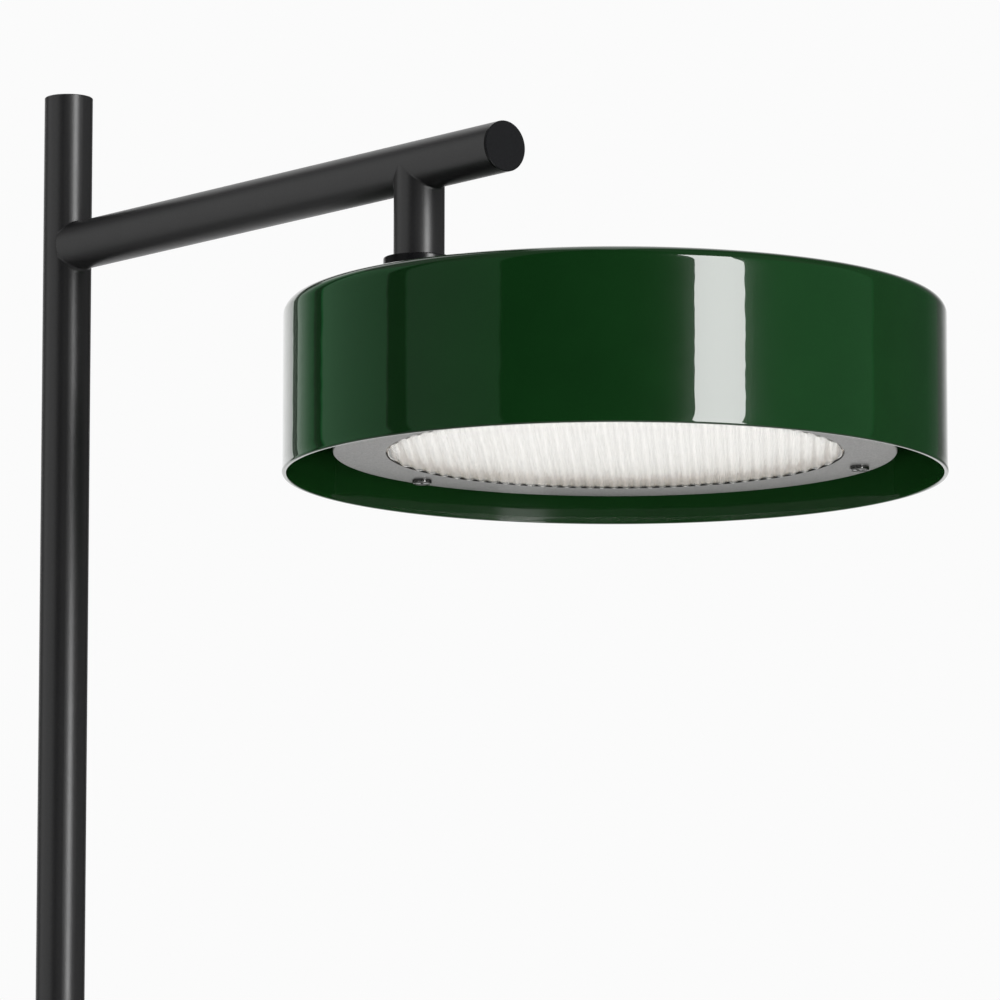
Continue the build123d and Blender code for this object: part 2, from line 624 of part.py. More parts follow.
# White reflector between the gasket and the can's top, with a ledge for the diffuser
REFLECTOR_R = 119.2
REFLECTOR_T = 1.2
DIFFUSER_H = 28.0
DIFFUSER_T = 2.0
DIFFUSER_GAP = 0.3
LEDGE_W = 3.5
LEDGE_T = 1.0
REFLECTOR_H = LENS_TOP_H + GASKET_T
with BuildPart() as reflector:
    round_bar(head_plane(REFLECTOR_H), REFLECTOR_R, CAN_TOP_H - REFLECTOR_H, REFLECTOR_R - REFLECTOR_T)
    round_bar(
        head_plane(DIFFUSER_H - LEDGE_T),
        REFLECTOR_R - REFLECTOR_T / 2,
        LEDGE_T,
        REFLECTOR_R - REFLECTOR_T - LEDGE_W,
    )
reflector.part.label = "reflector"
export_step(reflector.part, "parts/reflector.step")

with BuildPart() as diffuser:
    round_bar(head_plane(DIFFUSER_H), REFLECTOR_R - REFLECTOR_T - DIFFUSER_GAP, DIFFUSER_T)
diffuser.part.label = "diffuser"
export_step(diffuser.part, "parts/diffuser.step")

# LED board on the can's top, its chips in three rings, and its screws
BOARD_R = 98.0
BOARD_T = 1.6
BOARD_H = CAN_TOP_H - BOARD_T
with BuildPart() as led_board:
    round_bar(head_plane(BOARD_H), BOARD_R, BOARD_T)
    with BuildSketch(head_plane(BOARD_H)):
        with Locations(*BOARD_SCREW_SPOTS):
            Circle(M3_HOLE_R)
    extrude(amount=BOARD_T, mode=Mode.SUBTRACT)
led_board.part.label = "led_board"
export_step(led_board.part, "parts/led_board.step")

CHIP_W = 3.0
CHIP_T = 0.7
CHIP_RINGS = ((24.0, 8), (52.0, 16), (80.0, 24))
with BuildPart() as led_chips:
    with BuildSketch(head_plane(BOARD_H - CHIP_T)):
        for ring_r, count in CHIP_RINGS:
            with PolarLocations(ring_r, count):
                Rectangle(CHIP_W, CHIP_W)
    extrude(amount=CHIP_T)
led_chips.part.label = "led_chips"
export_step(led_chips.part, "parts/led_chips.step")

M3_HEAD_R = 2.8
M3_HEAD_H = 1.8
M3_SHANK_R = 1.5
M3_CROSS = 0.8
board_screw = pan_screw(M3_HEAD_R, M3_HEAD_H, M3_SHANK_R, 5.0, M3_CROSS)
with BuildPart() as board_screws:
    with Locations(*[on_head(x, y, BOARD_H) for x, y in BOARD_SCREW_SPOTS]):
        add(board_screw)
board_screws.part.label = "board_screws"
export_step(board_screws.part, "parts/board_screws.step")

# LED driver with a screw ear at each end
with BuildPart() as driver:
    with BuildSketch(head_plane(CAN_H)):
        with Locations((0, DRIVER_Y)):
            RectangleRounded(DRIVER_L, DRIVER_W, DRIVER_CORNER_R)
    extrude(amount=DRIVER_H)
    fillet(driver.edges().group_by(Axis.Z)[-1], DRIVER_EDGE_R)
    with BuildSketch(head_plane(CAN_H)):
        with Locations((0, DRIVER_Y)):
            RectangleRounded(DRIVER_L + EAR_L * 2, EAR_W, DRIVER_CORNER_R)
    extrude(amount=EAR_T)
    with BuildSketch(head_plane(CAN_H)):
        with Locations(*DRIVER_SCREW_SPOTS):
            Circle(M3_HOLE_R)
    extrude(amount=EAR_T, mode=Mode.SUBTRACT)
driver.part.label = "driver"
export_step(driver.part, "parts/driver.step")

driver_screw = pan_screw(M3_HEAD_R, M3_HEAD_H, M3_SHANK_R, 3.4, M3_CROSS).rotate(Axis.X, 180)
with BuildPart() as driver_screws:
    with Locations(*[on_head(x, y, CAN_H + EAR_T) for x, y in DRIVER_SCREW_SPOTS]):
        add(driver_screw)
driver_screws.part.label = "driver_screws"
export_step(driver_screws.part, "parts/driver_screws.step")

# Terminal block between the mains lead and the driver
TERMINAL_L = 24.0
TERMINAL_W = 18.0
TERMINAL_H = 13.0
TERMINAL_CORNER_R = 1.0
WIRE_PITCH_X = 8.0
WIRE_PITCH_Y = 9.0
WIRE_HOLE_R = 1.8
WIRE_HOLE_H = 4.0
with BuildPart() as terminal_block:
    with BuildSketch(head_plane(CAN_H)):
        with Locations((0, TERMINAL_Y)):
            RectangleRounded(TERMINAL_L, TERMINAL_W, TERMINAL_CORNER_R)
    extrude(amount=TERMINAL_H)
    with BuildSketch(head_plane(CAN_H + TERMINAL_H)):
        with Locations((0, TERMINAL_Y)):
            with GridLocations(WIRE_PITCH_X, WIRE_PITCH_Y, 3, 2):
                Circle(WIRE_HOLE_R)
    extrude(amount=-WIRE_HOLE_H, mode=Mode.SUBTRACT)
terminal_block.part.label = "terminal_block"
export_step(terminal_block.part, "parts/terminal_block.step")

# ================================================================ wiring
# Mains lead held inside the stand: up the pole, along the arm and down through the axle.
# It crosses the joint on the joint's own axis, where it only twists.
LEAD_SPLIT_Z = AXLE_FOOT_Z - 3.0
LOW_X = 6.0
HIGH_X = -7.0
ARM_LEAD_Z = ARM_Z + 7.0
stand_route = [
    (-TUBE_R - 2.0, 0, CORD_INLET_Z),
    (LOW_X, 0, CORD_INLET_Z),
    (LOW_X, 0, 500.0),
    (HIGH_X, 0, 900.0),
    (HIGH_X, 0, ARM_Z),
    (120.0, 0, ARM_Z),
    (200.0, 0, ARM_LEAD_Z),
    (SWIVEL_X, 0, ARM_LEAD_Z),
    (SWIVEL_X, 0, LEAD_SPLIT_Z),
]
stand_lead = lead_tube(stand_route, [16.0, 2000.0, 2000.0, 17.0, 300.0, 300.0, 18.0], LEAD_R)
stand_lead.part.label = "stand_lead"
export_step(stand_lead.part, "parts/stand_lead.step")

TERMINAL_WIRE_H = CAN_H + 6.0
head_route = [
    (SWIVEL_X, 0, LEAD_SPLIT_Z),
    on_head(0, -HEAD_OFFSET, TERMINAL_WIRE_H),
    on_head(0, TERMINAL_Y - TERMINAL_W / 2, TERMINAL_WIRE_H),
]
head_lead = lead_tube(head_route, [14.0], LEAD_R)
head_lead.part.label = "head_lead"
export_step(head_lead.part, "parts/head_lead.step")

driver_route = [
    on_head(0, TERMINAL_Y + TERMINAL_W / 2, TERMINAL_WIRE_H),
    on_head(0, -20.0, TERMINAL_WIRE_H),
    on_head(-20.0, 0.0, TERMINAL_WIRE_H + 4.0),
    on_head(-20.0, DRIVER_Y - DRIVER_W / 2, TERMINAL_WIRE_H + 4.0),
]
driver_lead = lead_tube(driver_route, [14.0, 14.0], 2.0)
driver_lead.part.label = "driver_lead"
export_step(driver_lead.part, "parts/driver_lead.step")

led_route = [
    on_head(DRIVER_L / 2, DRIVER_Y + 10.0, TERMINAL_WIRE_H + 8.0),
    on_head(LED_LEAD_SPOT[0] - 10.0, DRIVER_Y + 10.0, TERMINAL_WIRE_H + 8.0),
    on_head(LED_LEAD_SPOT[0], LED_LEAD_SPOT[1], TERMINAL_WIRE_H),
    on_head(LED_LEAD_SPOT[0], LED_LEAD_SPOT[1], CAN_TOP_H),
]
led_lead = lead_tube(led_route, [6.0, 3.0], 1.2)
led_lead.part.label = "led_lead"
export_step(led_lead.part, "parts/led_lead.step")
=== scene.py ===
import json
import math

import bmesh
import bpy
from mathutils import Matrix, Vector


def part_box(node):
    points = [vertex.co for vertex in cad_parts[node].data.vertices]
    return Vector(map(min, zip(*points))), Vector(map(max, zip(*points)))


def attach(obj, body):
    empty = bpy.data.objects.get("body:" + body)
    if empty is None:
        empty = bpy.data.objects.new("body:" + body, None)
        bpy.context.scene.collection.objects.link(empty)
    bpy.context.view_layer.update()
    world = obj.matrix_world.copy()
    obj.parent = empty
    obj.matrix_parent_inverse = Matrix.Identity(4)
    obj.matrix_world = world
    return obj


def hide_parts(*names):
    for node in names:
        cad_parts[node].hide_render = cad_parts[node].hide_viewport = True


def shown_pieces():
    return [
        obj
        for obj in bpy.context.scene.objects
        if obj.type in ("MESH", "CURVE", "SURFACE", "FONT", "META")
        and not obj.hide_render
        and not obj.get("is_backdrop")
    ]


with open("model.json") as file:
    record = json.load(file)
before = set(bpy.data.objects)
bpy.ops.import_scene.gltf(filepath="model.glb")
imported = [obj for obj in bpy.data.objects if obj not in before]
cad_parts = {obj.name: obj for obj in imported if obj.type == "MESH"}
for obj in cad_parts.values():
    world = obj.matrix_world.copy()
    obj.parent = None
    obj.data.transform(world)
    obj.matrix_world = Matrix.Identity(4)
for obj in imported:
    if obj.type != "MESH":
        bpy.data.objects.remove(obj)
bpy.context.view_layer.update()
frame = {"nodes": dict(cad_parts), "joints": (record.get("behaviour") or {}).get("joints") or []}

# Floor lamp with a round reading head. Metres, in the frame of the CAD model.
MM = 0.001

# ---------------------------------------------------------------- places from the frame
ARM_LOW, ARM_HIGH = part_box("arm_tube")
SHADE_LOW, SHADE_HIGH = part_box("shade")
LENS_LOW, LENS_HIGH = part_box("lens")
RING_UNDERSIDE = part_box("retainer_ring")[0].z
SWIVEL = Vector(frame["joints"][0]["pos_m"])
HEAD_X = (SHADE_LOW.x + SHADE_HIGH.x) / 2
HEAD_Y = (SHADE_LOW.y + SHADE_HIGH.y) / 2
RIM_Z = SHADE_LOW.z
TOP_Z = SHADE_HIGH.z
ARM_Z = (ARM_LOW.z + ARM_HIGH.z) / 2
TUBE_R = (ARM_HIGH.z - ARM_LOW.z) / 2


# ---------------------------------------------------------------- small helpers
def arc(cx, cy, radius, start, end, steps):
    """Points on an arc, angles in degrees."""
    points = []
    for i in range(steps + 1):
        angle = math.radians(start + (end - start) * i / steps)
        points.append((cx + radius * math.cos(angle), cy + radius * math.sin(angle)))
    return points


def line(a, b, steps):
    """Points on a straight run, ends left out."""
    return [(a[0] + (b[0] - a[0]) * i / steps, a[1] + (b[1] - a[1]) * i / steps) for i in range(1, steps)]


def make_piece(name, verts, faces, body, material, replaces=(), sharp=35.0):
    """A mesh object that rides on a CAD body. Edges steeper than sharp, in degrees, stay crisp."""
    mesh = bpy.data.meshes.new(name)
    mesh.from_pydata(verts, [], faces)
    mesh.validate()
    mesh.update()
    piece = bpy.data.objects.new(name, mesh)
    bpy.context.scene.collection.objects.link(piece)
    mesh.shade_smooth()
    mesh.set_sharp_from_angle(angle=math.radians(sharp))
    mesh.materials.append(material)
    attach(piece, body)
    if replaces:
        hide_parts(*replaces)
    return piece


def tidy_mesh(piece, reach=1e-7):
    """Merges points that meet, drops empty faces and turns all faces outwards."""
    work = bmesh.new()
    work.from_mesh(piece.data)
    bmesh.ops.remove_doubles(work, verts=work.verts, dist=reach)
    bmesh.ops.dissolve_degenerate(work, edges=work.edges, dist=reach)
    bmesh.ops.recalc_face_normals(work, faces=work.faces)
    work.to_mesh(piece.data)
    work.free()
    piece.data.update()


def ring_faces(rows, count, closed):
    """Quads between rings of points that follow each other. Closed joins the last ring to the first."""
    faces = []
    for i in range(rows if closed else rows - 1):
        j = (i + 1) % rows
        for k in range(count):
            n = (k + 1) % count
            faces.append((i * count + k, i * count + n, j * count + n, j * count + k))
    return faces


# ---------------------------------------------------------------- node trees
class Tree:
    """Adds nodes to an emptied shader tree."""

    def __init__(self, tree):
        self.tree = tree
        tree.nodes.clear()
        self.coords = self.add("TexCoord")

    def add(self, kind):
        return self.tree.nodes.new("ShaderNode" + kind)

    def link(self, a, b):
        self.tree.links.new(a, b)

    def feed(self, sockets, values):
        """Sets each socket to a number, or links it to another node."""
        for socket, value in zip(sockets, values):
            if isinstance(value, (int, float)):
                socket.default_value = value
            else:
                self.link(value, socket)

    def math(self, kind, a, b):
        node = self.add("Math")
        node.operation = kind
        self.feed(node.inputs, (a, b))
        return node.outputs[0]

    def length(self, vector):
        node = self.add("VectorMath")
        node.operation = "LENGTH"
        self.link(vector, node.inputs[0])
        return node.outputs["Value"]

    def along(self, vector, heading):
        """How far a direction points along a level heading."""
        node = self.add("VectorMath")
        node.operation = "DOT_PRODUCT"
        node.inputs[1].default_value = (heading.x, heading.y, 0.0)
        self.link(vector, node.inputs[0])
        return node.outputs["Value"]

    def ramp(self, source, stops):
        node = self.add("ValToRGB")
        elements = node.color_ramp.elements
        for i, (place, colour) in enumerate(stops):
            element = elements[i] if i < 2 else elements.new(place)
            element.position = place
            element.color = (*colour, 1.0)
        self.link(source, node.inputs["Fac"])
        return node.outputs["Color"]


MOTTLE_LOW = 0.3
MOTTLE_HIGH = 0.7


class Nodes(Tree):
    """Builds one node material."""

    def __init__(self, name):
        self.material = bpy.data.materials.new(name)
        self.material.use_nodes = True
        super().__init__(self.material.node_tree)
        self.out = self.add("OutputMaterial")
        self.shader = self.add("BsdfPrincipled")
        self.link(self.shader.outputs["BSDF"], self.out.inputs["Surface"])

    def set(self, **values):
        """Sets the shader's own sockets, with _ for each space in a name."""
        for name, value in values.items():
            self.shader.inputs[name.replace("_", " ")].default_value = value

    def mapping(self, scale=(1, 1, 1), offset=(0, 0, 0)):
        node = self.add("Mapping")
        self.link(self.coords.outputs["Object"], node.inputs["Vector"])
        node.inputs["Scale"].default_value = scale
        node.inputs["Location"].default_value = offset
        return node.outputs["Vector"]

    def noise(self, scale, detail=3.0, roughness=0.5, vector=None):
        node = self.add("TexNoise")
        node.inputs["Scale"].default_value = scale
        node.inputs["Detail"].default_value = detail
        node.inputs["Roughness"].default_value = roughness
        self.link(self.coords.outputs["Object"] if vector is None else vector, node.inputs["Vector"])
        return node.outputs["Fac"]

    def mottle(self, source, low, high):
        """Two colours, blended by a noise."""
        return self.ramp(source, [(MOTTLE_LOW, low), (MOTTLE_HIGH, high)])

    def bump(self, source, strength, distance, before=None):
        node = self.add("Bump")
        node.inputs["Strength"].default_value = strength
        node.inputs["Distance"].default_value = distance
        self.link(source, node.inputs["Height"])
        if before is not None:
            self.link(before, node.inputs["Normal"])
        return node.outputs["Normal"]

    def colour_from(self, source, low, high):
        self.link(self.mottle(source, low, high), self.shader.inputs["Base Color"])

    def glow_from(self, source, low, high, strength):
        self.link(self.mottle(source, low, high), self.shader.inputs["Emission Color"])
        self.shader.inputs["Emission Strength"].default_value = strength

    def roughness_from(self, source, low, high):
        node = self.add("MapRange")
        node.inputs["To Min"].default_value = low
        node.inputs["To Max"].default_value = high
        self.link(source, node.inputs["Value"])
        self.link(node.outputs["Result"], self.shader.inputs["Roughness"])

    def normal_from(self, normal):
        self.link(normal, self.shader.inputs["Normal"])


# ---------------------------------------------------------------- materials
def black_paint():
    """Satin black powder coat with a fine orange peel."""
    m = Nodes("black_paint_fine")
    m.set(Metallic=0.0, IOR=1.5)
    m.colour_from(m.noise(900.0, detail=2.0), (0.0085, 0.0085, 0.0090), (0.0120, 0.0120, 0.0126))
    m.roughness_from(m.noise(60.0), low=0.33, high=0.39)
    fine = m.bump(m.noise(1400.0, detail=2.0), strength=0.10, distance=0.06 * MM)
    m.normal_from(m.bump(m.noise(260.0, detail=2.0), strength=0.12, distance=0.20 * MM, before=fine))
    return m.material


def shaded_black_paint():
    """A darker, smoother copy of the black paint for the arm's end cap and the collar. The boards do not
    light it, so these faces sit in painted shade.
    """
    m = Nodes("shaded_black_fine")
    m.set(Metallic=0.0, IOR=1.4)
    m.colour_from(m.noise(900.0, detail=2.0), (0.0078, 0.0080, 0.0088), (0.0100, 0.0103, 0.0112))
    m.roughness_from(m.noise(60.0), low=0.20, high=0.26)
    m.normal_from(m.bump(m.noise(900.0, detail=2.0), strength=0.10, distance=0.05 * MM))
    return m.material


def green_paint():
    """Deep green under a gloss clear coat, whose slight waves stand taller than they are wide."""
    m = Nodes("green_paint_fine")
    m.set(Metallic=0.0, IOR=1.5, Specular_IOR_Level=0.08)
    m.set(Coat_Weight=1.0, Coat_Roughness=0.012, Coat_IOR=1.5)
    m.colour_from(m.noise(35.0, detail=4.0), (0.0036, 0.0240, 0.0050), (0.0042, 0.0275, 0.0058))
    m.roughness_from(m.noise(90.0), low=0.18, high=0.24)
    waves = m.noise(1.0, detail=1.0, vector=m.mapping(scale=(30.0, 30.0, 90.0)))
    m.link(m.bump(waves, strength=1.0, distance=0.13 * MM), m.shader.inputs["Coat Normal"])
    m.normal_from(m.bump(m.noise(500.0, detail=2.0), strength=0.15, distance=0.10 * MM))
    return m.material


# Painted shade: how far out the dark edge round the lens reaches, and its colour.
GAP_SHADE_EDGE_R = 115.9 * MM
GAP_SHADE_COLOUR = (0.015, 0.015, 0.013, 1.0)


def grey_paint():
    """Fine-grained silver-grey paint on the ring, with painted shade: its inner edge round the lens is
    dark, as the gap there lies in shadow.
    """
    m = Nodes("grey_paint_fine")
    m.set(Metallic=0.55, IOR=1.5)
    grain = m.mottle(m.noise(1300.0, roughness=0.6), (0.28, 0.275, 0.27), (0.49, 0.485, 0.475))
    from_axis = m.length(m.mapping(scale=(1.0, 1.0, 0.0), offset=(-HEAD_X, -HEAD_Y, 0.0)))
    # Inside the edge radius the ring takes a dark colour: painted shade for the gap round the lens.
    painted = m.add("Mix")
    painted.data_type = "RGBA"
    painted.inputs["A"].default_value = GAP_SHADE_COLOUR
    m.link(m.math("GREATER_THAN", from_axis, GAP_SHADE_EDGE_R), painted.inputs["Factor"])
    m.link(grain, painted.inputs["B"])
    m.link(painted.outputs["Result"], m.shader.inputs["Base Color"])
    m.roughness_from(m.noise(300.0), low=0.38, high=0.50)
    m.normal_from(m.bump(m.noise(1600.0, detail=2.0), strength=0.25, distance=0.08 * MM))
    return m.material


def lens_glass():
    """Pressed glass, frosted enough to blur what lies behind it, with a slight waviness."""
    m = Nodes("lens_glass_fine")
    m.set(Metallic=0.0, IOR=1.5, Transmission_Weight=1.0)
    m.shader.distribution = "MULTI_GGX"
    m.colour_from(m.noise(40.0, detail=2.0), (0.985, 0.950, 0.900), (1.0, 0.972, 0.930))
    m.roughness_from(m.noise(120.0), low=0.24, high=0.28)
    m.normal_from(m.bump(m.noise(180.0, detail=2.0), strength=0.15, distance=0.08 * MM))
    return m.material


def opal_plastic():
    """Lit opal diffuser."""
    m = Nodes("opal_plastic_fine")
    m.set(Metallic=0.0, IOR=1.49)
    m.colour_from(m.noise(25.0, detail=2.0), (0.86, 0.85, 0.82), (0.90, 0.89, 0.86))
    m.glow_from(m.noise(18.0, detail=1.0), (0.945, 0.98, 1.0), (0.955, 0.985, 1.0), strength=1.54)
    m.roughness_from(m.noise(200.0, detail=2.0), low=0.45, high=0.55)
    m.normal_from(m.bump(m.noise(900.0, detail=2.0), strength=0.1, distance=0.1 * MM))
    return m.material


def lit_reflector():
    """Warm white inside of the reflector, with a painted glow that stands in for the lamp's light falling
    on it.
    """
    m = Nodes("lit_reflector_fine")
    m.set(Metallic=0.0, IOR=1.5)
    m.colour_from(m.noise(600.0), (0.55, 0.455, 0.35), (0.61, 0.515, 0.41))
    # Painted glow: this emission stands in for the lamp's light on the reflector.
    m.glow_from(m.noise(30.0, detail=1.0), (1.0, 0.76, 0.53), (1.0, 0.79, 0.57), strength=0.10)
    m.roughness_from(m.noise(300.0, detail=2.0), low=0.38, high=0.46)
    m.normal_from(m.bump(m.noise(900.0, detail=2.0), strength=0.1, distance=0.1 * MM))
    return m.material


def screw_steel():
    """Dark plated screw heads."""
    m = Nodes("screw_steel_fine")
    m.set(Metallic=1.0, IOR=1.5)
    m.colour_from(m.noise(400.0), (0.16, 0.16, 0.158), (0.25, 0.25, 0.245))
    m.roughness_from(m.noise(500.0), low=0.08, high=0.16)
    m.normal_from(m.bump(m.noise(1500.0, detail=2.0), strength=0.10, distance=0.03 * MM))
    return m.material


def spun_aluminium():
    """Spun metal with turning marks about the head's axis."""
    m = Nodes("spun_aluminium_fine")
    m.set(Metallic=1.0, IOR=1.5)
    m.colour_from(m.noise(60.0), (0.62, 0.62, 0.63), (0.74, 0.74, 0.75))
    rings = m.add("TexWave")
    rings.wave_type = "RINGS"
    rings.rings_direction = "Z"
    rings.inputs["Scale"].default_value = 260.0
    rings.inputs["Distortion"].default_value = 1.5
    m.link(m.mapping(offset=(-HEAD_X, -HEAD_Y, 0.0)), rings.inputs["Vector"])
    m.roughness_from(rings.outputs["Fac"], low=0.32, high=0.42)
    m.normal_from(m.bump(rings.outputs["Fac"], strength=0.2, distance=0.05 * MM))
    return m.material


ROUGHNESS_SPREAD = 0.05
PATCH_SHARE = 0.3
ROUGHNESS_SHARE = 0.5


def plain_finish(name, low, high, metallic, rough, grain, depth):
    """Material for the smaller fittings: slight mottling, roughness and grain."""
    m = Nodes(name)
    m.set(Metallic=metallic, IOR=1.5)
    m.colour_from(m.noise(grain * PATCH_SHARE), low, high)
    m.roughness_from(m.noise(grain * ROUGHNESS_SHARE), rough - ROUGHNESS_SPREAD, rough + ROUGHNESS_SPREAD)
    m.normal_from(m.bump(m.noise(grain, detail=2.0), strength=0.25, distance=depth))
    return m.material


def zinc_steel():
    low = (0.50, 0.49, 0.48)
    high = (0.62, 0.60, 0.58)
    name = "zinc_steel_fine"
    return plain_finish(name, low, high, metallic=1.0, rough=0.20, grain=900.0, depth=0.08 * MM)


def black_rubber():
    low = (0.012, 0.012, 0.012)
    high = (0.020, 0.020, 0.020)
    name = "black_rubber_fine"
    return plain_finish(name, low, high, metallic=0.0, rough=0.70, grain=800.0, depth=0.2 * MM)


def white_plastic():
    low = (0.72, 0.72, 0.70)
    high = (0.78, 0.78, 0.76)
    name = "white_plastic_fine"
    return plain_finish(name, low, high, metallic=0.0, rough=0.45, grain=700.0, depth=0.1 * MM)


def led_phosphor():
    low = (0.80, 0.66, 0.20)
    high = (0.86, 0.72, 0.28)
    name = "led_phosphor_fine"
    return plain_finish(name, low, high, metallic=0.0, rough=0.50, grain=900.0, depth=0.05 * MM)


def lead_jacket():
    low = (0.015, 0.015, 0.015)
    high = (0.024, 0.024, 0.024)
    name = "lead_jacket_fine"
    return plain_finish(name, low, high, metallic=0.0, rough=0.50, grain=700.0, depth=0.1 * MM)


MATERIALS = {
    "black_paint": black_paint(),
    "shaded_black": shaded_black_paint(),
    "green_paint": green_paint(),
    "grey_paint": grey_paint(),
    "lens_glass": lens_glass(),
    "opal_plastic": opal_plastic(),
    "lit_reflector": lit_reflector(),
    "spun_aluminium": spun_aluminium(),
    "zinc_steel": zinc_steel(),
    "black_rubber": black_rubber(),
    "white_plastic": white_plastic(),
    "led_phosphor": led_phosphor(),
    "lead_jacket": lead_jacket(),
}

# Nodes whose finish differs from the rest of their slot
OWN_FINISH = {
    # Painted shade: the end cap and the collar take the darker copy of the black that the boards do not
    # light.
    "arm_end_cap": "shaded_black",
    "swivel_collar": "shaded_black",
    "reflector": "lit_reflector",
    # The lens gasket takes black rubber in place of its silicone so that the gap round the lens looks
    # darker: painted shade.
    "lens_gasket": "black_rubber",
}
for name, node in frame["nodes"].items():
    for place in node.material_slots:
        finish = OWN_FINISH.get(name, place.material.name)
        place.material = MATERIALS[finish]


# ---------------------------------------------------------------- shade
SHADE_SEGMENTS = 288
SHADE_R = 168.0 * MM
SHADE_WALL = 2.0 * MM
CORNER_R = 7.0 * MM
CORNER_STEPS = 14
INNER_CORNER_STEPS = 10
WALL_STEPS = 30
LIP_H = 5.0 * MM
LIP_STEPS = 10
LIP_R = 1.0 * MM
LIP_EDGE_STEPS = 8
INNER_LIP_R = 0.6 * MM
INNER_LIP_STEPS = 6
RIM_INSET = 0.3 * MM
RIM_R = SHADE_HIGH.x - HEAD_X - RIM_INSET
SWIVEL_HOLE_R = 5.25 * MM
TOP_ROWS = 40


def shade_profile():
    """The shade's section from the top's outer edge down the wall, round the rim and up inside."""
    inner_r = SHADE_R - SHADE_WALL
    inner_corner_r = CORNER_R - SHADE_WALL
    top = TOP_Z - CORNER_R
    section = arc(SHADE_R - CORNER_R, top, CORNER_R, 90.0, 0.0, CORNER_STEPS)
    section += line((SHADE_R, top), (SHADE_R, RIM_Z + LIP_H), WALL_STEPS)
    for i in range(LIP_STEPS):
        t = i / LIP_STEPS
        section.append((SHADE_R + (RIM_R - SHADE_R) * t * t, RIM_Z + LIP_H + (LIP_R - LIP_H) * t))
    section += arc(RIM_R - LIP_R, RIM_Z + LIP_R, LIP_R, 0.0, -90.0, LIP_EDGE_STEPS)
    section += arc(inner_r + INNER_LIP_R, RIM_Z + INNER_LIP_R, INNER_LIP_R, -90.0, -180.0, INNER_LIP_STEPS)
    section += line((inner_r, RIM_Z + INNER_LIP_R), (inner_r, top), WALL_STEPS)
    section += arc(inner_r - inner_corner_r, top, inner_corner_r, 0.0, 90.0, INNER_CORNER_STEPS)
    return section


def shade_shell():
    """Spun drum. Its flat top's rings run from the swivel's hole, which is off centre, to the edge."""
    hole = Vector((SWIVEL.x, SWIVEL.y))
    centre = Vector((HEAD_X, HEAD_Y))
    shares = [i / TOP_ROWS for i in range(TOP_ROWS)]

    def top_ring(share, edge_r, height):
        return (hole.lerp(centre, share), SWIVEL_HOLE_R + (edge_r - SWIVEL_HOLE_R) * share, height)

    profile = shade_profile()
    rings = [top_ring(share, SHADE_R - CORNER_R, TOP_Z) for share in shares]
    rings += [(centre, radius, height) for radius, height in profile]
    inner_edge_r = profile[-1][0]
    rings += [top_ring(share, inner_edge_r, TOP_Z - SHADE_WALL) for share in reversed(shares)]
    verts = []
    for middle, radius, height in rings:
        for k in range(SHADE_SEGMENTS):
            angle = math.tau * k / SHADE_SEGMENTS
            verts.append((middle.x + radius * math.cos(angle), middle.y + radius * math.sin(angle), height))
    faces = [tuple(reversed(face)) for face in ring_faces(len(rings), SHADE_SEGMENTS, closed=True)]
    paint = MATERIALS["green_paint"]
    return make_piece("shade_shell", verts, faces, "head", paint, ["shade"])


# ---------------------------------------------------------------- lens
LENS_BOSS_R = 114.7 * MM
LENS_FLANGE_LOW = 12.6 * MM
RIB_PITCH = 6.2 * MM
RIB_DEPTH = 0.45 * MM
RIB_EDGE_DEPTH = 0.95 * MM
RIB_EDGE_BAND = 7.0 * MM
RIB_TURN = math.radians(48.0)
LENS_COLUMNS = 620
LENS_ROWS = 20
LENS_SHARP = 40.0


def lens_glass_piece():
    """Pressed lens: rounded flutes, deeper at the edge, run across its round boss, under a flat flange."""
    flange_r = (LENS_HIGH.x - LENS_LOW.x) / 2
    flange_z = RIM_Z + LENS_FLANGE_LOW
    across = (math.cos(RIB_TURN), math.sin(RIB_TURN))
    verts = []

    def put(u, v, z):
        verts.append((HEAD_X + u * across[0] - v * across[1], HEAD_Y + u * across[1] + v * across[0], z))

    def wave(u, v):
        share = max(0.0, 1.0 - (LENS_BOSS_R - math.hypot(u, v)) / RIB_EDGE_BAND)
        depth = RIB_DEPTH + (RIB_EDGE_DEPTH - RIB_DEPTH) * share * share
        return LENS_LOW.z + depth * (0.5 + 0.5 * math.cos(math.tau * u / RIB_PITCH))

    for i in range(LENS_COLUMNS + 1):
        angle = math.pi * (i / LENS_COLUMNS - 0.5)
        u = LENS_BOSS_R * math.sin(angle)
        for j in range(LENS_ROWS + 1):
            v = LENS_BOSS_R * math.cos(angle) * math.sin(math.pi * (j / LENS_ROWS - 0.5))
            put(u, v, wave(u, v))
    width = LENS_ROWS + 1
    faces = []
    for i in range(LENS_COLUMNS):
        for j in range(LENS_ROWS):
            a = i * width + j
            faces.append((a, a + 1, a + width + 1, a + width))
    edge = [i * width + LENS_ROWS for i in range(LENS_COLUMNS + 1)]
    edge += [i * width for i in range(LENS_COLUMNS - 1, 0, -1)]
    around = len(edge)
    loops = [edge]
    for radius, z in ((LENS_BOSS_R, flange_z), (flange_r, flange_z), (flange_r, LENS_HIGH.z)):
        start = len(verts)
        for k in range(around):
            angle = math.pi * (k / LENS_COLUMNS - 0.5)
            put(radius * math.sin(angle), radius * math.cos(angle), z)
        loops.append(list(range(start, start + around)))
    for low, high in zip(loops, loops[1:]):
        for k in range(around):
            n = (k + 1) % around
            faces.append((low[k], low[n], high[n], high[k]))
    centre = len(verts)
    put(0.0, 0.0, LENS_HIGH.z)
    top = loops[-1]
    faces += [(centre, top[k], top[(k + 1) % around]) for k in range(around)]
    glass = MATERIALS["lens_glass"]
    piece = make_piece("lens_glass_fine", verts, faces, "head", glass, ["lens"], LENS_SHARP)
    tidy_mesh(piece)
    return piece


